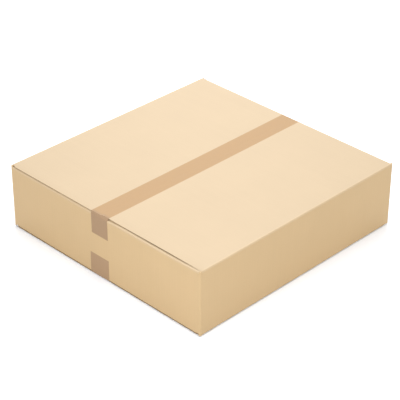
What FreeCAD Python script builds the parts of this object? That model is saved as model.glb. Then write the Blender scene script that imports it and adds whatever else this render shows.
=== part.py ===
import FreeCAD, Part
import math
import os
import Sketcher
from enum import IntEnum

# A closed, taped carton of single-wall board, in millimetres.
# Origin: centre of the base, on the surface the carton stands on.
# +X runs along the seam and the tape, +Y across it, +Z is up.

os.makedirs("parts", exist_ok=True)
document = FreeCAD.newDocument("taped_carton")

# Driving dimensions
DIMENSIONS = (
    ("outer_length", 600, "carton over its end panels, along X"),
    ("outer_width", 585, "carton over its side panels, along Y"),
    ("outer_height", 158, "carton over its closing flaps, along Z"),
    ("board", 4, "thickness of the single-wall corrugated board"),
    ("fold_inside", 0.8, "inner radius of every scored fold"),
    ("slot_clearance", 0.4, "from a fold's tangent to the edge of the slot beside it"),
    ("slot_stop", 3, "from the closing flaps' outer face to the end of each slot"),
    ("flap_gap", 0.5, "air between a closing flap and the flap folded in beneath it"),
    ("seam_gap", 2, "between the free edges of the two closing flaps"),
    ("inner_gap", 17, "between the free edges of the two flaps folded in beneath"),
    ("joint_tab", 35, "from the end panel's face to the free edge of the glued tab"),
    ("joint_gap", 0.5, "from the end panel's face to the raw edge at the glued joint"),
    ("tape_thickness", 0.1, "film and adhesive of both strips of tape"),
    ("top_tape_width", 50, "top strip, across the seam"),
    ("top_tape_shift", 4, "top strip's centre line from the seam, towards +Y"),
    ("top_tape_lap", 54, "top strip's lap down each end panel, from the top face"),
    ("bottom_tape_width", 57, "bottom strip, across the seam"),
    ("bottom_tape_shift", 7, "bottom strip's centre line from the seam, towards +Y"),
    ("bottom_tape_lap", 54, "bottom strip's lap up each end panel, from the bottom face"),
)


class Size:
    """A length held as a formula on the sheet and as its present number."""

    def __init__(self, formula, value):
        self.formula = formula
        self.value = float(value)

    def __add__(self, other):
        return Size(f"({self.formula} + {other.formula})", self.value + other.value)

    def __sub__(self, other):
        return Size(f"({self.formula} - {other.formula})", self.value - other.value)

    def __mul__(self, other):
        return Size(f"({self.formula} * {other.formula})", self.value * other.value)

    def __truediv__(self, other):
        return Size(f"({self.formula} / {other.formula})", self.value / other.value)


def root(size):
    """Square root, as a formula and a number."""
    return Size(f"sqrt({size.formula})", math.sqrt(size.value))


def write_sheet():
    """Put the driving dimensions on a sheet and return each one as a Size."""
    sheet = document.addObject("Spreadsheet::Sheet", "Sizes")
    sizes = {}
    for row, (name, number, meaning) in enumerate(DIMENSIONS, start=1):
        sheet.set(f"A{row}", name)
        sheet.set(f"B{row}", str(number))
        sheet.set(f"C{row}", meaning)
        sheet.setAlias(f"B{row}", name)
        sizes[name] = Size(f"Sizes.{name}", number)
    document.recompute()
    return sizes


S = write_sheet()
ZERO = Size("0", 0)
TWO = Size("2", 2)

# Sizes that follow from the driving ones
HALF_LENGTH = S["outer_length"] / TWO
HALF_WIDTH = S["outer_width"] / TWO
BASE = S["tape_thickness"]
TOP = BASE + S["outer_height"]
FOLD = S["fold_inside"] + S["board"]
INSET = FOLD + S["slot_clearance"]
TUCK = S["board"] + S["flap_gap"]

# Sketch planes: side sections are drawn on YZ, end sections on XZ, corners on XY
ORIGIN = FreeCAD.Vector(0, 0, 0)
X_AXIS = FreeCAD.Vector(1, 0, 0)
Y_AXIS = FreeCAD.Vector(0, 1, 0)
Z_AXIS = FreeCAD.Vector(0, 0, 1)
SIDE_PLANE = FreeCAD.Placement(ORIGIN, FreeCAD.Rotation(Y_AXIS, Z_AXIS, X_AXIS, "ZXY"))
END_PLANE = FreeCAD.Placement(ORIGIN, FreeCAD.Rotation(X_AXIS, Z_AXIS, -Y_AXIS, "ZXY"))
FLOOR_PLANE = FreeCAD.Placement()

CUBIC_MM_PER_LITRE = 1e6

# Numbers that sketches use for the origin
ORIGIN_POINT = (-1, 1)


class SketchAxis(IntEnum):
    """Numbers that sketches use for their two axes."""

    ACROSS = -1
    UP = -2


class EdgeEnd(IntEnum):
    """Numbers that sketches use for the two ends of an edge."""

    START = 1
    FINISH = 2


def line_to(across, up):
    """A straight edge of an outline, named by the place where it ends."""
    return {"place": (across, up)}


def arc_to(across, up, centre, radius):
    """A round edge of an outline, by its end, its centre and its radius."""
    return {"place": (across, up), "centre": centre, "radius": radius}


def point(place):
    return FreeCAD.Vector(place[0].value, place[1].value, 0)


def add_edge(sketch, before, edge):
    """Draw one edge from the place before it. Return its number and its first and last end."""
    first = point(before)
    last = point(edge["place"])
    if "centre" not in edge:
        number = sketch.addGeometry(Part.LineSegment(first, last), False)
        return number, EdgeEnd.START, EdgeEnd.FINISH
    centre = point(edge["centre"])
    circle = Part.Circle(centre, Z_AXIS, edge["radius"].value)
    turns_left = (first - centre).cross(last - centre).z > 0
    ends = (first, last) if turns_left else (last, first)
    angles = [math.atan2(end.y - centre.y, end.x - centre.x) for end in ends]
    number = sketch.addGeometry(Part.ArcOfCircle(circle, angles[0], angles[1]), False)
    if turns_left:
        return number, EdgeEnd.START, EdgeEnd.FINISH
    return number, EdgeEnd.FINISH, EdgeEnd.START


def hold(sketch, number, end, place):
    """Tie one end of an edge to its place, written in the sizes of the sheet."""
    rules = (("DistanceX", place[0], SketchAxis.UP), ("DistanceY", place[1], SketchAxis.ACROSS))
    for kind, size, axis in rules:
        if size.formula == ZERO.formula:
            sketch.addConstraint(Sketcher.Constraint("PointOnObject", number, end, axis))
            continue
        rule = Sketcher.Constraint(kind, *ORIGIN_POINT, number, end, size.value)
        sketch.setExpression(f"Constraints[{sketch.addConstraint(rule)}]", size.formula)


def closed_outline(name, plane, edges):
    """A sketch of one closed outline, each corner and radius bound to the sheet."""
    sketch = document.addObject("Sketcher::SketchObject", name)
    sketch.Placement = plane
    drawn = []
    for before, edge in zip([edges[-1]] + edges[:-1], edges):
        drawn.append(add_edge(sketch, before["place"], edge))
    for (number, _, last), (following, first, _), edge in zip(drawn, drawn[1:] + drawn[:1], edges):
        sketch.addConstraint(Sketcher.Constraint("Coincident", number, last, following, first))
        hold(sketch, following, first, edge["place"])
        if "radius" in edge:
            rule = Sketcher.Constraint("Radius", number, edge["radius"].value)
            place = sketch.addConstraint(rule)
            sketch.setExpression(f"Constraints[{place}]", edge["radius"].formula)
    return sketch


def extrude(name, sketch, forward, backward=ZERO):
    """Carry an outline along its plane's normal, and the other way if asked."""
    piece = document.addObject("Part::Extrusion", name)
    piece.Base = sketch
    piece.DirMode = "Normal"
    piece.Solid = True
    piece.setExpression("LengthFwd", forward.formula)
    piece.setExpression("LengthRev", backward.formula)
    return piece


def move(piece, **distances):
    """Shift a piece along the named axes by sizes of the sheet."""
    for axis, size in distances.items():
        piece.setExpression(f"Placement.Base.{axis}", size.formula)
    return piece


def box(name, low, high):
    """A block between two corners written in the sizes of the sheet."""
    block = document.addObject("Part::Box", name)
    for side, least, most in zip(("Length", "Width", "Height"), low, high):
        block.setExpression(side, (most - least).formula)
    return move(block, x=low[0], y=low[1], z=low[2])


def mirrored(name, piece, normal):
    """The same piece on the other side of the carton's middle plane."""
    twin = document.addObject("Part::Mirroring", name)
    twin.Source = piece
    twin.Base = ORIGIN
    twin.Normal = normal
    return twin


def joined(name, pieces):
    """One solid from pieces that are one sheet or one strip in the real carton."""
    whole = document.addObject("Part::MultiFuse", name)
    whole.Shapes = pieces
    whole.Refine = True
    whole.Label = name
    return whole


def folded_section(name, plane, reach, free_edge, depth):
    """One panel with its top and bottom flap: a strip of board folded twice into a C.

    reach is the panel's outer face, free_edge the flaps' free edges, and depth how far
    the flaps lie within the carton's top and bottom face.
    """
    high = TOP - depth
    low = BASE + depth
    bend = reach - FOLD
    inner = reach - S["board"]
    top_centre = (bend, high - FOLD)
    bottom_centre = (bend, low + FOLD)
    edges = [
        line_to(free_edge, high),
        line_to(bend, high),
        arc_to(reach, high - FOLD, top_centre, FOLD),
        line_to(reach, low + FOLD),
        arc_to(bend, low, bottom_centre, FOLD),
        line_to(free_edge, low),
        line_to(free_edge, low + S["board"]),
        line_to(bend, low + S["board"]),
        arc_to(inner, low + FOLD, bottom_centre, S["fold_inside"]),
        line_to(inner, high - FOLD),
        arc_to(bend, high - S["board"], top_centre, S["fold_inside"]),
        line_to(free_edge, high - S["board"]),
    ]
    return closed_outline(name, plane, edges)


def corner_section():
    """The upright fold between an end panel and a side panel, out to the slots' edges."""
    end_bend = HALF_LENGTH - FOLD
    side_bend = HALF_WIDTH - FOLD
    end_inner = HALF_LENGTH - S["board"]
    side_inner = HALF_WIDTH - S["board"]
    centre = (end_bend, side_bend)
    edges = [
        line_to(HALF_LENGTH, HALF_WIDTH - INSET),
        line_to(HALF_LENGTH, side_bend),
        arc_to(end_bend, HALF_WIDTH, centre, FOLD),
        line_to(HALF_LENGTH - INSET, HALF_WIDTH),
        line_to(HALF_LENGTH - INSET, side_inner),
        line_to(end_bend, side_inner),
        arc_to(end_inner, side_bend, centre, S["fold_inside"]),
        line_to(end_inner, HALF_WIDTH - INSET),
    ]
    return closed_outline("corner_section", FLOOR_PLANE, edges)


def side_panels():
    """Both side panels, with the closing flaps that meet at the seam."""
    free_edge = S["seam_gap"] / TWO
    section = folded_section("side_section", SIDE_PLANE, HALF_WIDTH, free_edge, ZERO)
    back = extrude("back_side", section, HALF_LENGTH - INSET, HALF_LENGTH - INSET)
    return [back, mirrored("front_side", back, Y_AXIS)]


def end_panels():
    """Both end panels, with the flaps folded in beneath the closing flaps.

    The panel at +X stops one board short of +Y, where the glued joint folds inside.
    """
    free_edge = S["inner_gap"] / TWO
    section = folded_section("end_section", END_PLANE, HALF_LENGTH, free_edge, TUCK)
    span = HALF_WIDTH - INSET
    joint_end = extrude("joint_end", section, span, span - S["board"])
    plain_end = extrude("plain_end", section, span, span)
    return [joint_end, mirrored("near_end", plain_end, X_AXIS)]


def corner_folds(section):
    """The three upright folds that run from slot to slot."""
    height = S["outer_height"] - TWO * S["slot_stop"]
    fold = move(extrude("corner_fold", section, height), z=BASE + S["slot_stop"])
    back_near = mirrored("back_near_fold", fold, X_AXIS)
    front_far = mirrored("front_far_fold", fold, Y_AXIS)
    front_near = mirrored("front_near_fold", back_near, Y_AXIS)
    return [back_near, front_far, front_near]


def glued_joint(section):
    """The fourth upright fold, whose tab is glued inside the back panel's raw edge."""
    side_inner = HALF_WIDTH - S["board"]
    slot_edge = HALF_LENGTH - INSET
    fold_stop = TUCK + S["flap_gap"]
    tab_stop = TUCK + TUCK
    height = S["outer_height"] - TWO * fold_stop
    fold = extrude("joint_fold", section, height)
    move(fold, y=ZERO - S["board"], z=BASE + fold_stop)
    tab = box(
        "joint_tab",
        (HALF_LENGTH - S["joint_tab"], side_inner - S["board"], BASE + tab_stop),
        (slot_edge, side_inner, TOP - tab_stop),
    )
    raw_edge = box(
        "joint_raw_edge",
        (slot_edge, side_inner, BASE + S["slot_stop"]),
        (HALF_LENGTH - S["joint_gap"], HALF_WIDTH, TOP - S["slot_stop"]),
    )
    return [fold, tab, raw_edge]


def half_tape_section(name, lap, level):
    """Half a strip of tape from the middle of the carton to its lap on the end panel.

    It runs over the closing flap's cut edge, straight to the end panel's fold, round that
    fold and on along the panel. level turns a depth below the taped face into a height.
    """
    film = S["tape_thickness"]
    rise = TUCK + FOLD
    slot_edge = HALF_LENGTH - INSET
    centre_x = HALF_LENGTH - FOLD
    reach_squared = S["slot_clearance"] * S["slot_clearance"] + rise * rise
    free_run = root(reach_squared - FOLD * FOLD)
    # The unit vector from the fold's centre to where the straight run touches it
    out = (free_run * rise - FOLD * S["slot_clearance"]) / reach_squared
    up = (FOLD * rise + free_run * S["slot_clearance"]) / reach_squared
    fold_centre = (centre_x, level(rise))
    edge_centre = (slot_edge, level(ZERO))
    wide = FOLD + film
    edges = [
        line_to(ZERO, level(ZERO - film)),
        line_to(slot_edge, level(ZERO - film)),
        arc_to(slot_edge + film * out, level(ZERO - film * up), edge_centre, film),
        line_to(centre_x + wide * out, level(rise - wide * up)),
        arc_to(HALF_LENGTH + film, level(rise), fold_centre, wide),
        line_to(HALF_LENGTH + film, level(lap)),
        line_to(HALF_LENGTH, level(lap)),
        line_to(HALF_LENGTH, level(rise)),
        arc_to(centre_x + FOLD * out, level(rise - FOLD * up), fold_centre, FOLD),
        line_to(slot_edge, level(ZERO)),
        line_to(ZERO, level(ZERO)),
    ]
    return closed_outline(name, END_PLANE, edges)


def below_top(depth):
    return TOP - depth


def above_bottom(depth):
    return BASE + depth


def tape(name, level):
    """One strip of tape along the seam, with a lap on each end panel."""
    section = half_tape_section(f"{name}_section", S[f"{name}_lap"], level)
    half_width = S[f"{name}_width"] / TWO
    shift = S[f"{name}_shift"]
    half = extrude(f"{name}_half", section, half_width - shift, half_width + shift)
    return joined(name, [half, mirrored(f"{name}_other_half", half, X_AXIS)])


def carton():
    """The whole blank, folded and glued: one sheet of board, so one solid."""
    section = corner_section()
    pieces = side_panels() + end_panels() + corner_folds(section) + glued_joint(section)
    return joined("carton", pieces)


def check(parts):
    """Stop unless every object is sound and every part is one valid solid."""
    for item in document.Objects:
        if "Invalid" in item.State or "Error" in item.State:
            raise RuntimeError(f"{item.Label} did not build: {item.State}")
        if item.TypeId == "Sketcher::SketchObject" and not item.FullyConstrained:
            raise RuntimeError(f"{item.Label} has an edge that no size holds")
    for part in parts:
        shape = part.Shape
        if shape.isNull() or not shape.isValid() or len(shape.Solids) != 1:
            raise RuntimeError(f"{part.Label} is not one valid solid")


def report(parts):
    for part in parts:
        bounds = part.Shape.BoundBox
        low = [round(value, 2) for value in (bounds.XMin, bounds.YMin, bounds.ZMin)]
        high = [round(value, 2) for value in (bounds.XMax, bounds.YMax, bounds.ZMax)]
        litres = part.Shape.Volume / CUBIC_MM_PER_LITRE
        print(f"{part.Label}: {low} to {high}, {litres:.4f} litres, {len(part.Shape.Faces)} faces")


parts = [carton(), tape("top_tape", below_top), tape("bottom_tape", above_bottom)]
document.recompute()
check(parts)
report(parts)
for part in parts:
    part.Shape.exportStep(f"parts/{part.Label}.step")
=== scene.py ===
# %% [markdown]
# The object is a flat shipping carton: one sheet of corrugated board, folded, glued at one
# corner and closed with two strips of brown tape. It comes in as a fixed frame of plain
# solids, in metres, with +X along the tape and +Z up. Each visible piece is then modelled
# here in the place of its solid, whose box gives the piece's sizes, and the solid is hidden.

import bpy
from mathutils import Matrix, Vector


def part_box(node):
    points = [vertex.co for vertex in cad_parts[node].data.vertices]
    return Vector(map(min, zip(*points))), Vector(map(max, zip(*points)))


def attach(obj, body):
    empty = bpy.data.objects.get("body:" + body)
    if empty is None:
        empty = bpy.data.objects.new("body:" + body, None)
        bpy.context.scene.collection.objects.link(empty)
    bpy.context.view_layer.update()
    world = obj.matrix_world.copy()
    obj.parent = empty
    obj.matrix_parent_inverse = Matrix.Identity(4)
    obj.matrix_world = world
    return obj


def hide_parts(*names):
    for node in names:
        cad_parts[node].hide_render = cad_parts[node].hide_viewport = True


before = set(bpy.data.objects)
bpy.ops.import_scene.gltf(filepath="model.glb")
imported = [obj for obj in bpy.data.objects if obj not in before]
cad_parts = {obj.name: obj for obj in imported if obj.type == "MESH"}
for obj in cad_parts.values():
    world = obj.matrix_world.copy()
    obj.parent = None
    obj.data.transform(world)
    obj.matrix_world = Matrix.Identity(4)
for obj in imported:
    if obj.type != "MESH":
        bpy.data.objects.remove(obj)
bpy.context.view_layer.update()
print("pieces in the frame:", sorted(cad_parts))

# %% Modules and units
import math

import bpy
import numpy as np
from mathutils import Matrix, Vector

MM = 0.001

# %% [markdown]
# The carton's outer sizes are read from its solid. The rest are sizes of the board: its
# thickness, how much of a wall a fold takes up, how far a slot's edge stands from the
# corner, and how far from the top and the base the upright folds end. The flaps that are
# folded in first lie one board and a little slack deeper than the closing flaps.

# %% Sizes of the board
carton_low, carton_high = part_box("carton")
HALF_LENGTH = carton_high.x
HALF_WIDTH = carton_high.y
BASE = carton_low.z
TOP = carton_high.z
BOARD = 4.0 * MM
FOLD = 4.8 * MM
CORNER_RADIUS = 2.6 * MM
TOP_RADIUS = 1.9 * MM
BOTTOM_RADIUS = 4.5 * MM
END_BOTTOM_RADIUS = 2.5 * MM
INNER_RADIUS = 0.6 * MM
SLOT_CLEARANCE = 0.4 * MM
INSET = FOLD + SLOT_CLEARANCE
SLACK = 0.5 * MM
TUCK = BOARD + SLACK
SLOT_STOP = 1.0 * MM
SEAM_GAP = 2.0 * MM
INNER_GAP = 17.0 * MM
JOINT_GAP = 0.5 * MM
JOINT_TAB = 35.0 * MM
GLUE = 0.1 * MM
print(f"carton {2 * HALF_LENGTH:.3f} x {2 * HALF_WIDTH:.3f} x {TOP - BASE:.3f} m")

# %% [markdown]
# The board could be built as a dozen separate slabs, but the real one is a single sheet. So
# it is modelled as a surface of two parameters: one runs round the four walls, the other
# climbs from the bottom flap over its fold, up the wall, over the next fold and along the
# top flap. Where the slots are cut, the grid has no faces. Each side of the sheet gets its
# own surface, because a fold is rounder outside than inside. The first parameter is made
# here: a walk round the walls, seen from above, with the way each point faces.

# %% The walk round the walls
PANEL_STEPS = 68
TURN_STEPS = 7
TAB_STEPS = 6
SAME_PLACE = 1e-6


def compass(heading):
    """The unit vector, seen from above, of a heading in degrees."""
    return np.array([math.cos(math.radians(heading)), math.sin(math.radians(heading))])


def walk_round(sunk, radius):
    """The walk for a surface that lies some depth below the outer face of the walls.

    Straight stretches are moved in by that depth. At a corner the surface turns round an
    arc of the given radius. The result is a list of kinds with their points, one row for
    each point: its x, its y and its heading in radians.
    """

    def straight(start, finish, heading, count):
        share = np.linspace(0, 1, count)[:, None]
        place = np.array(start) * (1 - share) + np.array(finish) * share - compass(heading) * sunk
        return np.hstack([place, np.full((count, 1), math.radians(heading))])

    def turn(corner, heading):
        centre = np.array(corner) - (compass(heading) + compass(heading + 90)) * (sunk + radius)
        angle = np.radians(np.linspace(heading, heading + 90, TURN_STEPS))
        ring = np.stack([np.cos(angle), np.sin(angle)], 1) * radius + centre
        return np.hstack([ring, angle[:, None]])

    def wall(kind, start, finish, heading, first_bit=SLOT_CLEARANCE):
        along = compass(heading + 90)
        left = np.array(start) + along * first_bit
        right = np.array(finish) - along * SLOT_CLEARANCE
        return [
            ("post", straight(start, left, heading, 2)),
            (kind, straight(left, right, heading, PANEL_STEPS)),
            ("post", straight(right, finish, heading, 2)),
        ]

    far_x, far_y = HALF_LENGTH - FOLD, HALF_WIDTH - FOLD
    joint_y = HALF_WIDTH - BOARD - GLUE
    raw_edge = (HALF_LENGTH - JOINT_GAP, HALF_WIDTH)
    return (
        wall("side", raw_edge, (-far_x, HALF_WIDTH), 90, INSET - JOINT_GAP)
        + [("post", turn((-HALF_LENGTH, HALF_WIDTH), 90))]
        + wall("end", (-HALF_LENGTH, far_y), (-HALF_LENGTH, -far_y), 180)
        + [("post", turn((-HALF_LENGTH, -HALF_WIDTH), 180))]
        + wall("side", (-far_x, -HALF_WIDTH), (far_x, -HALF_WIDTH), 270)
        + [("post", turn((HALF_LENGTH, -HALF_WIDTH), 270))]
        + wall("end", (HALF_LENGTH, -far_y), (HALF_LENGTH, joint_y - FOLD), 360)
        + [("joint", turn((HALF_LENGTH, joint_y), 360))]
        + [("tab", straight((far_x, joint_y), (HALF_LENGTH - JOINT_TAB, joint_y), 450, TAB_STEPS))]
    )


def joined_points(stretches):
    """All points of a walk in one array, with the point where two straights meet kept once."""
    parts, last = [], None
    for _, points in stretches:
        again = last is not None and np.allclose(points[0], last, atol=SAME_PLACE)
        parts.append(points[1:] if again else points)
        last = points[-1]
    return np.vstack(parts)


outer_stretches = walk_round(0.0, CORNER_RADIUS)
outer_walk = joined_points(outer_stretches)
inner_walk = joined_points(walk_round(BOARD, INNER_RADIUS))
print(f"{len(outer_walk)} steps round the outside, {len(inner_walk)} inside")

# %% [markdown]
# Each cell of the walk has a kind: a side wall with closing flaps, an end wall with tucked
# flaps, a corner post, the post at the glued joint or the glued tab. The kinds say how far
# below the top a wall ends. A corner has no flaps, so its fold simply ends at the slots.

# %% Kinds and heights along the walk
STOPS = {
    "side": FOLD,
    "end": TUCK + FOLD,
    "post": SLOT_STOP,
    "joint": TUCK + SLACK,
    "tab": 2 * TUCK,
}
cell_kinds = []
for number, (kind, points) in enumerate(outer_stretches):
    meets = number > 0 and np.allclose(points[0], outer_stretches[number - 1][1][-1], atol=SAME_PLACE)
    bridge = [] if number == 0 or meets else [kind if kind in ("joint", "tab") else "post"]
    cell_kinds += bridge + [kind] * (len(points) - 1)
cell_kinds = np.array(cell_kinds)
left_kinds = np.append(cell_kinds, cell_kinds[-1])
right_kinds = np.insert(cell_kinds, 0, cell_kinds[0])
column_kinds = np.where(np.isin(left_kinds, ("side", "end")), left_kinds, right_kinds)
is_side, is_end = column_kinds == "side", column_kinds == "end"
stop = np.array([STOPS[kind] for kind in column_kinds])
depth = np.where(is_end, TUCK, 0.0)
reach = np.select(
    [is_side, is_end],
    [HALF_WIDTH - SEAM_GAP / 2, HALF_LENGTH - INNER_GAP / 2],
    2 * FOLD,
)
has_flap = np.isin(cell_kinds, ("side", "end"))
print("cells with flaps:", int(has_flap.sum()), "of", len(has_flap))

# %% [markdown]
# The second parameter climbs over the sheet. Its rows fall into five zones, and in each one
# a row is given by how far it lies in from the wall, its height, and how steeply it faces
# up. Rows lie closer together near the folds, where the shape changes fastest.

# %% The climb from flap to flap
FLAP_ROWS = 56
FOLD_ROWS = 7
WALL_ROWS = 22
CROWDING = 1.3


def climb(sunk, bottom_radius, top_radius):
    """The five zones of rows for one side of the sheet, joined from the bottom up.

    Three arrays with a row for each step of the climb and a column for each step of the
    walk: inwards from this surface's own wall line, height, and tilt in radians.
    """
    shape = (1, len(stop))
    flap_share = (np.linspace(0, 1, FLAP_ROWS) ** CROWDING)[:, None]
    flap_in = FOLD + (reach - FOLD) * flap_share - sunk
    wall_share = (0.5 - 0.5 * np.cos(np.linspace(0, math.pi, WALL_ROWS)))[:, None]
    bend = np.linspace(0, math.pi / 2, FOLD_ROWS)[:, None]
    bend_in = 1 - np.cos(bend) + np.zeros(shape)
    bend_down = 1 - np.sin(bend)
    level = depth + sunk
    flap_down = depth + sunk + np.zeros_like(flap_in)
    flap_tilt = np.full_like(flap_in, math.pi / 2)
    wall_height = (BASE + stop) * (1 - wall_share) + (TOP - stop) * wall_share
    wall_flat = np.zeros_like(wall_height)
    low_in, top_in = bend_in[::-1] * bottom_radius, bend_in * top_radius
    inward = np.vstack([flap_in[::-1], low_in, wall_flat, top_in, flap_in])
    height = np.vstack(
        [
            BASE + flap_down[::-1],
            BASE + level + bend_down[::-1] * bottom_radius,
            wall_height,
            TOP - level - bend_down * top_radius,
            TOP - flap_down,
        ]
    )
    bend_tilt = bend + np.zeros(shape)
    tilt = np.vstack([-flap_tilt, -bend_tilt[::-1], wall_flat, bend_tilt, flap_tilt])
    return inward, height, tilt


first_wall_row = FLAP_ROWS + FOLD_ROWS
row_cells = np.arange(2 * first_wall_row + WALL_ROWS - 1)
in_wall = (row_cells >= first_wall_row) & (row_cells < first_wall_row + WALL_ROWS - 1)
keep = in_wall[:, None] | has_flap[None, :]
print("cells of board:", int(keep.sum()), "of", keep.size)

# %% [markdown]
# Putting the two together folds the sheet. A point stands on the wall, moved inwards and up
# as its row says, and its normal leans from the wall's heading towards the vertical.


# %% Fold the sheet
def folded(walk, sunk, bottom_radius, top_radius):
    """Places and normals of one side of the sheet, one for each row and column."""
    inward, height, tilt = climb(sunk, bottom_radius, top_radius)
    outwards = np.stack([np.cos(walk[:, 2]), np.sin(walk[:, 2])], 1)[None]
    level_place = walk[None, :, :2] - outwards * inward[..., None]
    level_normal = outwards * np.cos(tilt)[..., None]
    return np.dstack([level_place, height]), np.dstack([level_normal, np.sin(tilt)])


bottom_radii = np.where(is_end, END_BOTTOM_RADIUS, BOTTOM_RADIUS)
outside, facing = folded(outer_walk, 0.0, bottom_radii, TOP_RADIUS)
inside, _ = folded(inner_walk, BOARD, INNER_RADIUS, INNER_RADIUS)
print(f"thinnest {np.linalg.norm(outside - inside, axis=2)[:, 5].min() / MM:.2f} mm")

# %% [markdown]
# Real board is never quite flat. The top and the walls are dished by less than a
# millimetre. The base sags a little in the middle, so its edges stand just clear of the
# floor, which is what draws the thin dark line under the carton. The same functions move
# the tape later, so that it stays on the board.

# %% Shallow dishes and a sagging base
TOP_DISH = 0.8 * MM
WALL_DISH = 0.6 * MM
BASE_CLEAR = 1.2 * MM
SAG_REACH = 60 * MM


def dish(across):
    """One in the middle, nothing at the edges: one less the square of the way across."""
    return np.clip(1 - across * across, 0, None)


def sink(points, normals):
    """How far each point has sunk, by which face it lies on and how near its middle."""
    x = dish(points[..., 0] / HALF_LENGTH)
    y = dish(points[..., 1] / HALF_WIDTH)
    z = dish((2 * points[..., 2] - TOP - BASE) / (TOP - BASE))
    squares = normals * normals
    top = np.where(normals[..., 2] > 0, TOP_DISH, 0) * x * y
    ends, sides = WALL_DISH * y * z, WALL_DISH * x * z
    return squares[..., 2] * top + squares[..., 0] * ends + squares[..., 1] * sides


def clear_of_floor(points):
    """How far each point rises: all of it at the base's edges, none at its middle.

    One less the product of the two dishes, faded out with the square of the way up.
    """
    x = dish(points[..., 0] / HALF_LENGTH)
    y = dish(points[..., 1] / HALF_WIDTH)
    low = np.clip(1 - points[..., 2] / SAG_REACH, 0, 1) ** 2
    return BASE_CLEAR * (1 - x * y) * low


# %% [markdown]
# The knife did not stop the closing flaps at quite the same length. At the near end the
# flap on the left reaches almost to the face of the end panel and the one on the right
# stops short of it, so the panel's fold shows as a light strip on the right alone. The
# flaps of the base both come out almost flush. All of them were pressed on the folds when
# the carton was taped and stacked, so their ends are thinner, most of all at the corner in
# front. The tape needs the same numbers, because it bends over the edge of the flap.
#
# Each list below pairs places across the box with an amount, and between two places the
# amount is read off a straight line. A length that is called a fade says over what
# distance something dies away.

# %% The uneven ends of the closing flaps
LONGER_BY = 3.2 * MM
BASE_LONGER_PLACES = np.array([-20, 40]) * MM
BASE_LONGER_BY = np.array([3.2, 4.0]) * MM
CRUSH_PLACES = np.array([-287, -275, -252, -205, -146, -88, -60, -22, 30, 39, 287]) * MM
CRUSHES = np.array([3.5, 3.3, 2.4, 1.4, 1.5, 2.0, 1.9, 0.0, 0.0, 1.5, 1.5]) * MM
BASE_CRUSH = 1.5 * MM
SHARE_BELOW = 0.5
FLAP_GAP = 0.45 * MM
GAP_FROM = -25 * MM
GAP_FADE = 25 * MM
STEP_WIDTH = 3 * MM
LONGER_FADE = 60 * MM
CRUSH_FADE = 7 * MM
FOLD_FADE = 8 * MM
UNDER_FADE = 40 * MM
PRESS_REACH = 60 * MM
PRESS_FADE = 45 * MM
LEVEL = 0.99


def before_fold(y):
    """One across the box, going down to nothing at the folds of the closing flaps."""
    return np.clip((HALF_WIDTH - FOLD - np.abs(y)) / FOLD_FADE, 0, 1)


def overhang(y):
    """How much farther a closing flap reaches at the near end, for a place across it."""
    past_seam = np.clip(y / STEP_WIDTH + 0.5, 0, 1)
    return LONGER_BY * past_seam * before_fold(y)


def base_overhang(y):
    """The same for the flaps of the base, which both come out almost flush."""
    return np.interp(y, BASE_LONGER_PLACES, BASE_LONGER_BY) * before_fold(y)


def longer_flap(points, normals):
    """Move the near ends of the closing flaps along X by the overhang, fading out inwards."""
    close = np.clip(1 - (points[..., 0] + HALF_LENGTH - INSET) / LONGER_FADE, 0, 1)
    lies_up, lies_down = normals[..., 2] > LEVEL, normals[..., 2] < -LEVEL
    moved = points.copy()
    moved[..., 0] -= np.where(is_side & lies_up, close * overhang(points[..., 1]), 0)
    moved[..., 0] -= np.where(is_side & lies_down, close * base_overhang(points[..., 1]), 0)
    return moved


def crush(y):
    """How much thinner the closing flaps are pressed at their near end, across the box."""
    return np.interp(y, CRUSH_PLACES, CRUSHES)


def base_crush(y):
    """How much thinner the flaps of the base are under the near end panel, across the box."""
    return BASE_CRUSH * before_fold(y)


def near_flap_end(points):
    """One at the near ends of the closing flaps, fading out inwards with a square."""
    return np.clip(1 - (points[..., 0] + HALF_LENGTH - INSET) / CRUSH_FADE, 0, 1) ** 2


def settled(points, normals):
    """How far the end panel's lower fold has come down, and the flap's back under it."""
    low = np.clip((PRESS_REACH - points[..., 2]) / PRESS_FADE, 0, 1) ** 2
    down = base_crush(points[..., 1]) * near_flap_end(points) * low
    lies_down = normals[..., 2] < -LEVEL
    return np.where(is_end, down, 0), np.where(is_side & lies_down, down, 0)


def pressed(points, normals):
    """Bring the flap's end and the end panel's fold together, from both sides.

    Of the crush, a part is taken off the top of the flap and the rest off its underside.
    The fold below rises by that rest, and by the gap that was left under the flap.
    """
    flap_end = near_flap_end(points)
    under_flap = np.clip(1 - (points[..., 0] + HALF_LENGTH - FOLD) / UNDER_FADE, 0, 1)
    high = np.clip((points[..., 2] - TOP + PRESS_REACH) / PRESS_FADE, 0, 1) ** 2
    lies_up = normals[..., 2] > LEVEL
    thinner = crush(points[..., 1])
    gap = FLAP_GAP * np.clip((GAP_FROM - points[..., 1]) / GAP_FADE, 0, 1)
    lift = (gap * under_flap + SHARE_BELOW * thinner * flap_end) * high
    return np.where(is_side & lies_up, thinner * flap_end, 0), np.where(is_end, lift, 0)


sunk_by = facing * sink(outside, facing)[..., None]
outside, inside = longer_flap(outside, facing), longer_flap(inside, facing)
thinner, lift = pressed(outside, facing)
fold_down, back_down = settled(outside, facing)
outside = outside - sunk_by
inside = inside - sunk_by
rise = lift - fold_down + clear_of_floor(outside)
outside[..., 2] += rise - thinner * (1 - SHARE_BELOW)
inside[..., 2] += rise + thinner * SHARE_BELOW - back_down
print(f"deepest dish {1000 * np.linalg.norm(sunk_by, axis=2).max():.2f} mm")

# %% [markdown]
# A sheet needs a back and an edge. A cut edge of corrugated board is not flat: two thin
# liners show, with a dark channel between them where the wavy middle layer stands back.
# That dark line is what the eye reads along the ends of the closing flaps, so the channel
# is real geometry here. Every border edge of the kept cells gets a band of faces that runs
# down one liner, into the channel, across it and out again to the other liner.


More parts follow.
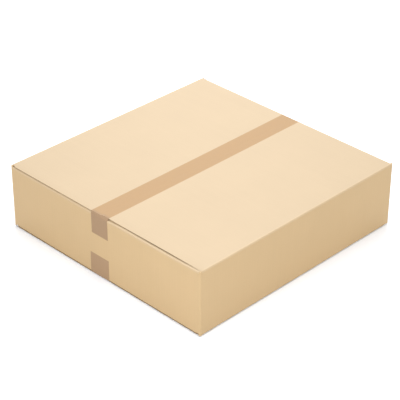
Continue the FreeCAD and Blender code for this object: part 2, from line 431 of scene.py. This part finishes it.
# %% Close a sheet into a solid
OPEN_CHANNEL = 3.5 * MM
SHARP_ANGLE = 40
TINY = 1e-9


def border_edges(cells, number):
    """The directed border edges of the kept cells, with the inward step of each.

    A cell's side is on the border where the next cell that way is missing. Each side comes
    with its two corners in the turning order of its face, and the row and column step that
    leads back into the sheet.
    """
    padded = np.pad(cells, 1)
    sides = (
        ((-1, 0), (0, 0), (0, 1), (1, 0)),
        ((0, 1), (0, 1), (1, 1), (0, -1)),
        ((1, 0), (1, 1), (1, 0), (-1, 0)),
        ((0, -1), (1, 0), (0, 0), (0, 1)),
    )
    found = []
    for (down, right), first, last, inwards in sides:
        beyond = padded[1 + down:padded.shape[0] - 1 + down, 1 + right:padded.shape[1] - 1 + right]
        row, column = np.nonzero(cells & ~beyond)
        ends = [(row + step[0], column + step[1]) for step in (first, last)]
        steps = np.tile(inwards, (len(row), 1))
        found.append((np.stack([number[end] for end in ends], 1), ends, steps))
    return found


def closed_sheet(name, front, back, cells, chart, rings=(), recess=None):
    """A solid sheet from two grids of points and the kept cells, as a mesh object.

    The rings are the lines of the cut edge between front and back: each a share of the way
    from front to back and a share of the recess, which is how far the channel runs in.
    """
    corners = np.zeros(front.shape[:2], bool)
    turning = ((0, 0), (0, 1), (1, 1), (1, 0))
    for down, right in turning:
        corners[down:down + cells.shape[0], right:right + cells.shape[1]] |= cells
    number = np.full(front.shape[:2], -1)
    number[corners] = np.arange(corners.sum())
    count = int(corners.sum())
    row, column = np.nonzero(cells)
    quads = np.stack([number[row + down, column + right] for down, right in turning], 1)
    edges, steps_in = [], np.zeros((count, 3))
    for ids, ends, steps in border_edges(cells, number):
        edges.append(ids)
        for end, (end_row, end_column) in enumerate(ends):
            towards = front[end_row + steps[:, 0], end_column + steps[:, 1]] - front[end_row, end_column]
            length = np.linalg.norm(towards, axis=1, keepdims=True)
            np.add.at(steps_in, ids[:, end], towards / np.maximum(length, TINY))
    edges = np.vstack(edges)
    rim = np.unique(edges)
    rim_number = np.full(count, -1)
    rim_number[rim] = np.arange(len(rim))
    into = steps_in[rim]
    into = into / np.maximum(np.linalg.norm(into, axis=1, keepdims=True), TINY)
    front_points, back_points, flat = front[corners], back[corners], chart[corners]
    channel = np.zeros((len(rim), 1)) if recess is None else recess(front_points[rim])[:, None]
    points, layers, charts = [front_points, back_points], [edges], [flat, flat]
    painted_channel_shade = [np.zeros(2 * count)]
    for ring, (across, share) in enumerate(rings):
        between = front_points[rim] * (1 - across) + back_points[rim] * across
        points.append(between + into * channel * share)
        layers.append(2 * count + ring * len(rim) + rim_number[edges])
        charts.append(flat[rim])
        # This number grows with how deep a ring lies in the channel; the finish darkens the colour with
        # it, partly the middle layer's real darker paper, partly painted shade in the recess.
        painted_channel_shade.append(np.clip(channel[:, 0] * share / OPEN_CHANNEL, 0, 1))
    layers.append(edges + count)
    bands = [
        np.stack([upper[:, 1], upper[:, 0], lower[:, 0], lower[:, 1]], 1)
        for upper, lower in zip(layers, layers[1:])
    ]
    faces = np.vstack([quads, quads[:, ::-1] + count] + bands)
    mesh = bpy.data.meshes.new(name)
    mesh.from_pydata(np.vstack(points), [], faces.tolist())
    keep_chart(mesh, np.vstack(charts))
    cut = mesh.attributes.new("cut", "FLOAT", "POINT")
    cut.data.foreach_set("value", np.concatenate(painted_channel_shade).astype(np.float32))
    mesh.polygons.foreach_set("use_smooth", np.ones(len(faces), bool))
    mesh.set_sharp_from_angle(angle=math.radians(SHARP_ANGLE))
    piece = bpy.data.objects.new(name, mesh)
    bpy.context.scene.collection.objects.link(piece)
    print(f"{name}: {len(mesh.vertices)} points, {len(faces)} faces")
    return piece


def keep_chart(mesh, chart):
    """Keep where each point lies on the flat sheet, in metres, as a UV map."""
    layer = mesh.uv_layers.new(name="sheet")
    corner_points = np.zeros(len(mesh.loops), np.int64)
    mesh.loops.foreach_get("vertex_index", corner_points)
    layer.data.foreach_set("uv", chart[corner_points].astype(np.float32).ravel())


# %% [markdown]
# How deep the channel shows depends on where the knife met the wave and on how much the
# edge is crushed. Beside the tape and at the corners it is pressed shut. On the right-hand
# flap it opens more and more towards the front. Under the carton it is open all along.

# %% The board of the carton
PLACES = np.array([-287, -276, -262, -240, -205, -150, -95, -45, -24, 34, 60, 250, 287]) * MM
DEPTHS = np.array([0.3, 0.7, 2.2, 4.2, 4.6, 3.0, 1.8, 0.7, 0.5, 0.6, 0.6, 0.5, 0.4]) * MM
BASE_DEPTH = 4 * MM
WAVER = 0.25
WAVER_LENGTHS = (41 * MM, 93 * MM, 23 * MM)


def wobble(along, lengths):
    """A smooth wobble between -1 and 1: the mean of sines of the given wavelengths."""
    waves = [np.sin(2 * math.pi * along / length + 17 * length / MM) for length in lengths]
    return sum(waves) / len(waves)


def lengths_along(line):
    """How far along a line of points each of them lies."""
    return np.concatenate([[0], np.cumsum(np.linalg.norm(np.diff(line, axis=0), axis=1))])


def channel_depth(points):
    """Read from the list of depths along Y, or one depth at the base, times a wobble."""
    along = points[:, 1] + 0.7 * points[:, 0]
    depths = np.where(points[:, 2] > TOP / 2, np.interp(points[:, 1], PLACES, DEPTHS), BASE_DEPTH)
    return depths * (1 + WAVER * wobble(along, WAVER_LENGTHS))


LINER = 0.09
RIM = ((LINER, 0.0), (LINER, 1.0), (0.5, 0.8), (1 - LINER, 1.0), (1 - LINER, 0.0))
around = lengths_along(outer_walk[:, :2])
climbed = lengths_along(outside[:, is_side][:, 3])
sheet_chart = np.dstack(np.meshgrid(around, climbed))
board = closed_sheet("carton_board", outside, inside, keep, sheet_chart, RIM, channel_depth)

# %% Put the board in the carton's place
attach(board, "root")
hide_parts("carton")

# %% [markdown]
# Each strip of tape is a thin film carried along a line: up the end panel from the end of
# its lap, round the panel's fold, straight across to the closing flap's cut edge, and over
# it onto the flap. The line could be drawn by hand, but it is better worked out, because a
# taut film leaves the fold where a straight line from the flap's edge just touches it. The
# flaps do not end at the same place, so the line is worked out for every place across.

# %% The line of a strip of tape
FILM = 0.1 * MM
CUT_RADIUS = 0.3 * MM
QUARTER = math.pi / 2
LEAST_TOUCH = 0.02
LAP_ROWS = 20
BEND_ROWS = 7
GAP_ROWS = 6
EDGE_ROWS = 5
TAPE_ROWS = 46


def run(start, finish, count, beyond=0):
    """Rows from start towards finish, for every place across. Drops the last few rows."""
    share = np.linspace(0, 1, count)[:count - beyond, None]
    return start * (1 - share) + finish * share


def half_line(lap, inset, fold_radius, tuck):
    """Half a strip's line, from its lap's end on the end panel to the middle of the box.

    Three arrays with a column for each place across: distance out, height over the taped
    face, and the angle that the film faces, from 0 on the panel to a quarter turn on the
    flap. The fold and the flap's edge are two arcs, with radii R and r. A taut film leaves
    both at the same angle, whose cosine, from the line between their centres, is R less r
    over the length of that line. It is kept above a least angle, so that the rows round
    the fold never fall together.
    """
    still = np.zeros_like(inset)
    centre_out, centre_up = HALF_LENGTH - fold_radius, -tuck - fold_radius
    edge_out = HALF_LENGTH - inset - CUT_RADIUS
    to_out, to_up = edge_out - centre_out, -CUT_RADIUS - centre_up
    slack = np.arccos((fold_radius - CUT_RADIUS) / np.hypot(to_out, to_up))
    touch = np.clip(np.arctan2(to_up, to_out) - slack, LEAST_TOUCH, None)
    radius = fold_radius + FILM
    bend = run(still, touch, BEND_ROWS)
    bend_out = centre_out + radius * np.cos(bend)
    bend_up = centre_up + radius * np.sin(bend)
    edge = run(touch, still + QUARTER, EDGE_ROWS)
    over_out = edge_out + (CUT_RADIUS + FILM) * np.cos(edge)
    over_up = (CUT_RADIUS + FILM) * np.sin(edge) - CUT_RADIUS
    lap_up = run(still - lap, still + centre_up, LAP_ROWS, 1)
    gap_out = run(bend_out[-1], over_out[0], GAP_ROWS, 1)[1:]
    gap_up = run(bend_up[-1], over_up[0], GAP_ROWS, 1)[1:]
    top_out = run(over_out[-1], still, TAPE_ROWS)[1:]
    lap_out = np.full_like(lap_up, HALF_LENGTH + FILM)
    out = np.vstack([lap_out, bend_out, gap_out, over_out, top_out])
    up = np.vstack([lap_up, bend_up, gap_up, over_up, np.full_like(top_out, FILM)])
    angle = np.vstack([lap_up * 0, bend, gap_out * 0 + touch, edge, top_out * 0 + QUARTER])
    return out, up, angle


# %% [markdown]
# The film is then spread across its width. Its ends are torn off over a toothed blade, so
# they are finely zigzag. Over the seam the film dips a little into the gap.

# %% The two strips of tape
TOOTH = 2.4 * MM
TOOTH_DEPTH = 0.9 * MM
SEAM_DIP = 0.12 * MM
SEAM_REACH = 1.6 * MM
ACROSS_STEPS = 97


def tape(name, node, side, shift, width, lap):
    """A strip of film on the top (side 1) or the bottom (side -1), as a closed sheet."""
    across = np.linspace(0.5, -0.5, ACROSS_STEPS) * side
    y = shift + width * across
    near_inset = INSET - (overhang(y) if side > 0 else base_overhang(y))
    fold_radius = TOP_RADIUS if side > 0 else END_BOTTOM_RADIUS
    near = half_line(lap, near_inset, fold_radius, TUCK - (0 if side > 0 else base_crush(y)))
    far = half_line(lap, INSET + 0 * y, fold_radius, TUCK)
    out = np.vstack([-near[0], far[0][-2::-1]])
    up = np.vstack([near[1], far[1][-2::-1]])
    angle = np.vstack([math.pi - near[2], far[2][-2::-1]])
    teeth = np.abs((width * across / TOOTH) % 1 - 0.5) * 2 * TOOTH_DEPTH
    up[[0, -1]] += teeth
    level = TOP if side > 0 else BASE
    points = np.dstack([out, y + 0 * out, level + side * up])
    normals = np.dstack([np.cos(angle), 0 * angle, side * np.sin(angle)])
    dip = SEAM_DIP * np.exp(-((points[..., 1] / SEAM_REACH) ** 2)) * (np.sin(angle) > 0.999)
    points = points - normals * (sink(points, normals) + dip)[..., None]
    points[..., 2] += clear_of_floor(points)
    chart = np.dstack(np.meshgrid(across * width, lengths_along(np.stack([out[:, 0], up[:, 0]], 1))))
    cells = np.ones((len(out) - 1, ACROSS_STEPS - 1), bool)
    strip = closed_sheet(name, points, points - normals * FILM, cells, chart)
    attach(strip, "root")
    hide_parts(node)
    return strip


top_low, top_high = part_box("top_tape")
bottom_low, bottom_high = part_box("bottom_tape")
top_middle, top_width = (top_low.y + top_high.y) / 2, top_high.y - top_low.y
bottom_middle, bottom_width = (bottom_low.y + bottom_high.y) / 2, bottom_high.y - bottom_low.y
LAP = 54 * MM
top_strip = tape("tape_over_top", "top_tape", 1, top_middle, top_width, LAP)
bottom_strip = tape("tape_under_base", "bottom_tape", -1, bottom_middle, bottom_width, LAP)
STRIP_LENGTH = 2 * (HALF_LENGTH + LAP)

# %% [markdown]
# The finishes are small node trees. Writing them as sums in Python keeps them readable: a
# socket is wrapped in a class whose operators add the Math nodes that work the sum out, and
# one method adds any other node.


# %% Shader sums
class Sum:
    """A number socket that can be added, subtracted and multiplied."""

    def __init__(self, tree, socket):
        self.tree = tree
        self.socket = socket

    def maths(self, operation, first, second):
        node = self.tree.node("ShaderNodeMath", {"operation": operation}, {0: first, 1: second})
        return Sum(self.tree, node.outputs[0])

    def __add__(self, other):
        return self.maths("ADD", self, other)

    def __radd__(self, other):
        return self.maths("ADD", other, self)

    def __sub__(self, other):
        return self.maths("SUBTRACT", self, other)

    def __rsub__(self, other):
        return self.maths("SUBTRACT", other, self)

    def __mul__(self, other):
        return self.maths("MULTIPLY", self, other)

    def __rmul__(self, other):
        return self.maths("MULTIPLY", other, self)


class Finish:
    """A material's node tree, with one method for any node and a few for common ones."""

    def __init__(self, name):
        self.material = bpy.data.materials.new(name)
        self.material.use_nodes = True
        self.nodes = self.material.node_tree.nodes
        self.links = self.material.node_tree.links
        self.nodes.clear()

    def node(self, kind, settings=None, sockets=None):
        """Add a node, set it up, then give each named or numbered socket its value or link."""
        node = self.nodes.new(kind)
        for key, value in (settings or {}).items():
            setattr(node, key, value)
        for key, value in (sockets or {}).items():
            socket = node.inputs[key]
            if isinstance(value, Sum):
                value = value.socket
            if isinstance(value, bpy.types.NodeSocket):
                self.links.new(value, socket)
            else:
                socket.default_value = value
        return node

    def chart(self):
        """Where a point lies on the flat sheet, in metres."""
        return self.node("ShaderNodeUVMap", {"uv_map": "sheet"}).outputs[0]

    def stretched(self, vector, scale):
        """The vector with each axis scaled, so that a pattern on it is stretched."""
        node = self.node("ShaderNodeMapping", None, {"Vector": vector, "Scale": scale})
        return node.outputs[0]

    def noise(self, vector, detail=2.0, roughness=0.5):
        """Smooth noise of unit scale on the vector, from 0 to 1 and mostly near a half."""
        sockets = {"Vector": vector, "Scale": 1.0, "Detail": detail, "Roughness": roughness}
        return Sum(self, self.node("ShaderNodeTexNoise", None, sockets).outputs[0])

    def attribute(self, name):
        """A number that is kept on the points of the mesh."""
        node = self.node("ShaderNodeAttribute", {"attribute_name": name})
        return Sum(self, node.outputs["Fac"])

    def part(self, vector, axis):
        """One of the vector's three numbers."""
        return Sum(self, self.node("ShaderNodeSeparateXYZ", None, {0: vector}).outputs[axis])

    def sine(self, angle):
        return angle.maths("SINE", angle, 0.0)

    def absolute(self, value):
        return value.maths("ABSOLUTE", value, 0.0)

    def step(self, value, low, high):
        """Nothing below low, one above high and a smooth ramp between."""
        sockets = {0: value, 1: low, 2: high}
        node = self.node("ShaderNodeMapRange", {"interpolation_type": "SMOOTHSTEP"}, sockets)
        return Sum(self, node.outputs[0])

    def mix(self, share, first, second):
        """A colour between two colours."""
        node = self.node("ShaderNodeMix", {"data_type": "RGBA"}, {0: share, 6: first, 7: second})
        return node.outputs[2]

    def tinted(self, colour, strength):
        """A colour made darker or lighter by a number that varies."""
        sockets = {0: colour, 3: strength}
        return self.node("ShaderNodeVectorMath", {"operation": "SCALE"}, sockets).outputs[0]

    def relief(self, height_in_metres):
        """A bump whose height is written in metres."""
        sockets = {"Strength": 1.0, "Distance": 1.0, "Height": height_in_metres}
        return self.node("ShaderNodeBump", None, sockets).outputs[0]

    def done(self, sockets):
        """Close the tree with one Principled shader and return the material."""
        shader = self.node("ShaderNodeBsdfPrincipled", None, sockets)
        self.node("ShaderNodeOutputMaterial", None, {"Surface": shader.outputs[0]})
        return self.material


# %% [markdown]
# Kraft liner is brown, unbleached paper. Close up it has short fibres that lie along the
# machine's run, soft clouds where the pulp was thicker, a few darker specks, and the faint
# washboard of the flutes beneath it. The middle layer, which shows only inside the cut
# edges, is a darker and greyer paper, and it is painted darker still the deeper the channel
# runs, as painted shade in the recess. The top's paper is painted greyer than the walls',
# as painted light for the whitish sheen on the lit top, and a pale painted highlight runs
# along the top fold.

# %% The finish of the board
FLUTE = 7.9 * MM
WALL_PAPER = (0.637, 0.446, 0.232)
TOP_PAPER_PAINTED_SHEEN = (0.578, 0.435, 0.270)
MIDDLE_PAPER_AND_PAINTED_SHADE = (0.09, 0.058, 0.03)
TOP_FOLD_AT = float(climbed[first_wall_row + WALL_ROWS - 1])
FOLD_MIDDLE = FOLD - TOP_RADIUS + TOP_RADIUS * math.pi / 4


def kraft_board():
    finish = Finish("kraft_board")
    chart = finish.chart()
    up_the_sheet = finish.part(chart, 1)
    clouds = finish.noise(finish.stretched(chart, (9, 9, 9)), 3.0, 0.55)
    fibres = finish.noise(finish.stretched(chart, (260, 1500, 1)), 2.0, 0.6)
    streaks = finish.noise(finish.stretched(chart, (70, 6, 1)), 2.0, 0.5)
    flutes = finish.sine(finish.part(chart, 0) * (2 * math.pi / FLUTE))
    specks = finish.step(finish.noise(finish.stretched(chart, (420, 700, 1)), 1.0), 0.71, 0.78)
    # Painted light: the top flaps' paper is mixed to a greyer colour than the walls', standing in for
    # the sheen on the lit top.
    painted_sheen_on_top = finish.step(up_the_sheet, TOP_FOLD_AT - 2 * MM, TOP_FOLD_AT + 6 * MM)
    paper = finish.mix(painted_sheen_on_top, (*WALL_PAPER, 1.0), (*TOP_PAPER_PAINTED_SHEEN, 1.0))
    # The cut number mixes in a near black paper by channel depth: partly the middle layer's real darker
    # colour, partly painted shade in the recess.
    paper = finish.mix(finish.attribute("cut"), paper, (*MIDDLE_PAPER_AND_PAINTED_SHADE, 1.0))
    strength = 1.0 + 0.06 * (clouds - 0.5) + 0.07 * (fibres - 0.5) + 0.03 * (streaks - 0.5)
    # A pale line along the top fold is a painted highlight: the colour is made lighter within a few
    # millimetres of the fold's middle.
    off_fold = finish.absolute(up_the_sheet - TOP_FOLD_AT - FOLD_MIDDLE)
    painted_fold_highlight = 1.0 - finish.step(off_fold, 1.0 * MM, 4.5 * MM)
    strength = strength + 0.004 * flutes - 0.08 * specks + 0.11 * painted_fold_highlight
    height = 0.012 * MM * flutes + 0.04 * MM * fibres + 0.2 * MM * clouds
    return finish.done(
        {
            "Base Color": finish.tinted(paper, strength),
            "Roughness": 0.55 + 0.16 * fibres,
            "Normal": finish.relief(height),
            "Specular IOR Level": 0.7,
        }
    )


board.data.materials.append(kraft_board())
print("board finish:", len(board.data.materials[0].node_tree.nodes), "nodes")

# %% [markdown]
# Brown packing tape is a thin polypropylene film. It hides the board, shows soft blotches
# where the glue has wetted the paper unevenly, and is smoother than the board. Its colour
# is painted darker on the laps than on the top, the upper lap most: painted shade on the
# walls and painted light on the top.

# %% The finish of the tape
TOP_FILM_PAINTED_LIGHT = (0.474, 0.303, 0.158)
UPPER_LAP_PAINTED_SHADE = (0.417, 0.276, 0.169)
LOWER_LAP_PAINTED_SHADE = (0.446, 0.294, 0.178)


def packing_tape(name, lap_painted_shade):
    finish = Finish(name)
    chart = finish.chart()
    along = finish.part(chart, 1)
    blotches = finish.noise(finish.stretched(chart, (55, 30, 1)), 3.0, 0.6)
    drawn = finish.noise(finish.stretched(chart, (900, 14, 1)), 2.0, 0.5)
    from_lap = finish.step(along, LAP - 1 * MM, LAP + 9 * MM)
    to_lap = finish.step(along, STRIP_LENGTH - LAP - 9 * MM, STRIP_LENGTH - LAP + 1 * MM)
    # Painted light and shade: the strip's top gets a lighter film colour and its laps a darker one.
    film = finish.mix(from_lap - to_lap, (*lap_painted_shade, 1.0), (*TOP_FILM_PAINTED_LIGHT, 1.0))
    strength = 1.0 + 0.07 * (blotches - 0.5) + 0.03 * (drawn - 0.5)
    height = 0.08 * MM * blotches + 0.01 * MM * drawn
    return finish.done(
        {
            "Base Color": finish.tinted(film, strength),
            "Roughness": 0.46 + 0.14 * blotches,
            "Normal": finish.relief(height),
            "Specular IOR Level": 0.12,
        }
    )


# The two strips' finishes differ only in the painted shade of their laps.
top_strip.data.materials.append(packing_tape("packing_tape", UPPER_LAP_PAINTED_SHADE))
bottom_strip.data.materials.append(packing_tape("packing_tape_below_painted_shade", LOWER_LAP_PAINTED_SHADE))
print("tape finish:", len(top_strip.data.materials[0].node_tree.nodes), "nodes")

# %% [markdown]
# The carton stands on a plain white sweep that is lit a little past white, so the camera
# sees pure white but for a thin dark line where the board meets the floor. For the camera,
# and for reflections, the floor is whiter than for the light that it sends to the carton,
# and whiter still far from the carton, where little lamp light falls.


# %% The floor
FLOOR_EXTRA = (0.11, 0.165, 0.25)
FAR_EXTRA = (0.6, 0.6, 0.6)
FAR_FROM = 0.8
FLOOR_HALF = 25.0


def white_floor():
    finish = Finish("white_floor")
    path = finish.node("ShaderNodeLightPath")
    seen = Sum(finish, path.outputs["Is Camera Ray"]) + Sum(finish, path.outputs["Is Glossy Ray"])
    seen = seen + Sum(finish, path.outputs["Is Transmission Ray"])
    pale = finish.node("ShaderNodeBsdfDiffuse", None, {"Color": (0.8, 0.8, 0.8, 1.0)})
    white = finish.node("ShaderNodeBsdfDiffuse", None, {"Color": (1.0, 1.0, 1.0, 1.0)})
    away = finish.node("ShaderNodeVectorMath", {"operation": "LENGTH"}, {0: finish.chart()})
    far = finish.step(Sum(finish, away.outputs["Value"]), FAR_FROM, 2 * FAR_FROM)
    more = finish.mix(far, (*FLOOR_EXTRA, 1.0), (*FAR_EXTRA, 1.0))
    extra = finish.node("ShaderNodeBsdfDiffuse", None, {"Color": more})
    both = finish.node("ShaderNodeAddShader", None, {0: white.outputs[0], 1: extra.outputs[0]})
    either = finish.node("ShaderNodeMixShader", None, {0: seen, 1: pale.outputs[0], 2: both.outputs[0]})
    finish.node("ShaderNodeOutputMaterial", None, {"Surface": either.outputs[0]})
    return finish.material


floor_mesh = bpy.data.meshes.new("floor")
floor_corners = [(x * FLOOR_HALF, y * FLOOR_HALF, 0) for x, y in ((-1, -1), (1, -1), (1, 1), (-1, 1))]
floor_mesh.from_pydata(floor_corners, [], [(0, 1, 2, 3)])
keep_chart(floor_mesh, np.array(floor_corners)[:, :2])
floor_mesh.materials.append(white_floor())
floor = bpy.data.objects.new("floor", floor_mesh)
bpy.context.scene.collection.objects.link(floor)

# %% [markdown]
# The light is that of a small product studio: a white room, a long softbox over the carton,
# a large one behind it whose sheen the top mirrors towards the camera, and two small ones
# that light the two walls in front, most of all beside the corner between them. The lamps
# are a little cooler than the room. Each lamp's power grows with its area, so its size
# changes how soft its shadow is and not how bright its face looks.


# %% The world and the lamps
LAMP_COLOUR = (0.98, 1.0, 1.025)
WORLD_COLOUR = (1.0, 0.993, 0.975)
WORLD_STRENGTH = 0.82
WATTS_PER_AREA = 4.0
OVERHEAD_TURN = -45


def white_world():
    world = bpy.data.worlds.new("studio")
    bpy.context.scene.world = world
    world.use_nodes = True
    background = world.node_tree.nodes["Background"]
    background.inputs["Color"].default_value = (*WORLD_COLOUR, 1)
    background.inputs["Strength"].default_value = WORLD_STRENGTH


def softbox(name, place, target, width, length, brightness):
    """A rectangular lamp that faces a target. Its brightness is set, whatever its size."""
    data = bpy.data.lights.new(name, "AREA")
    data.shape = "RECTANGLE"
    data.size = width
    data.size_y = length
    data.energy = brightness * WATTS_PER_AREA * width * length
    data.color = LAMP_COLOUR
    lamp = bpy.data.objects.new(name, data)
    bpy.context.scene.collection.objects.link(lamp)
    lamp.location = place
    lamp.rotation_mode = "QUATERNION"
    lamp.rotation_quaternion = (Vector(target) - Vector(place)).to_track_quat("-Z", "Y")
    return lamp


white_world()
over = softbox("overhead", (-0.16, -0.16, 1.15), (-0.16, -0.16, 0), 0.45, 2.4, 1.72)
over.rotation_quaternion = Matrix.Rotation(math.radians(OVERHEAD_TURN), 3, "Z").to_quaternion()
softbox("behind", (1.9, 1.87, 1.6), (0, 0, 0.1), 2.4, 1.8, 2.4)
softbox("left", (-1.15, -0.35, 0.45), (-0.3, -0.25, 0.08), 0.5, 0.5, 1.82)
softbox("right", (-0.1, -1.7, 0.5), (0, -0.3, 0.08), 0.6, 0.6, 1.38)

# %% [markdown]
# The camera's place was worked out from the carton's edges in the photograph: its bearing
# and height above the horizon, a slight roll, its distance and a small step aside and up,
# all in carton lengths. A long lens keeps the far edges nearly as long as the near ones.

# %% The camera
BEARING = -45.33
ELEVATION = 31.70
ROLL = 0.269
DISTANCE = 5.516
ASIDE = -0.0070
UPWARD = 0.0928
FOCAL_PIXELS = 1472.4
PICTURE_PIXELS = 400
SENSOR_MM = 36.0
FARTHEST = 50

bearing, elevation, roll = (math.radians(angle) for angle in (BEARING, ELEVATION, ROLL))
level_back = Vector((math.sin(bearing), -math.cos(bearing), 0))
back = level_back * math.cos(elevation) + Vector((0, 0, math.sin(elevation)))
level_right = Vector((0, 0, 1)).cross(back).normalized()
level_up = back.cross(level_right)
right = level_right * math.cos(roll) + level_up * math.sin(roll)
up = level_up * math.cos(roll) - level_right * math.sin(roll)
camera_data = bpy.data.cameras.new("camera")
camera_data.sensor_width = SENSOR_MM
camera_data.lens = FOCAL_PIXELS / PICTURE_PIXELS * SENSOR_MM
camera_data.clip_end = FARTHEST
camera = bpy.data.objects.new("camera", camera_data)
bpy.context.scene.collection.objects.link(camera)
turned = Matrix((right, up, back)).transposed().to_4x4()
carton_length = 2 * HALF_LENGTH
stand = (back * DISTANCE + right * ASIDE + up * UPWARD) * carton_length
camera.matrix_world = Matrix.Translation(stand) @ turned
bpy.context.scene.camera = camera
bpy.context.scene.view_settings.view_transform = "Standard"
print("camera at", [round(value, 3) for value in stand])
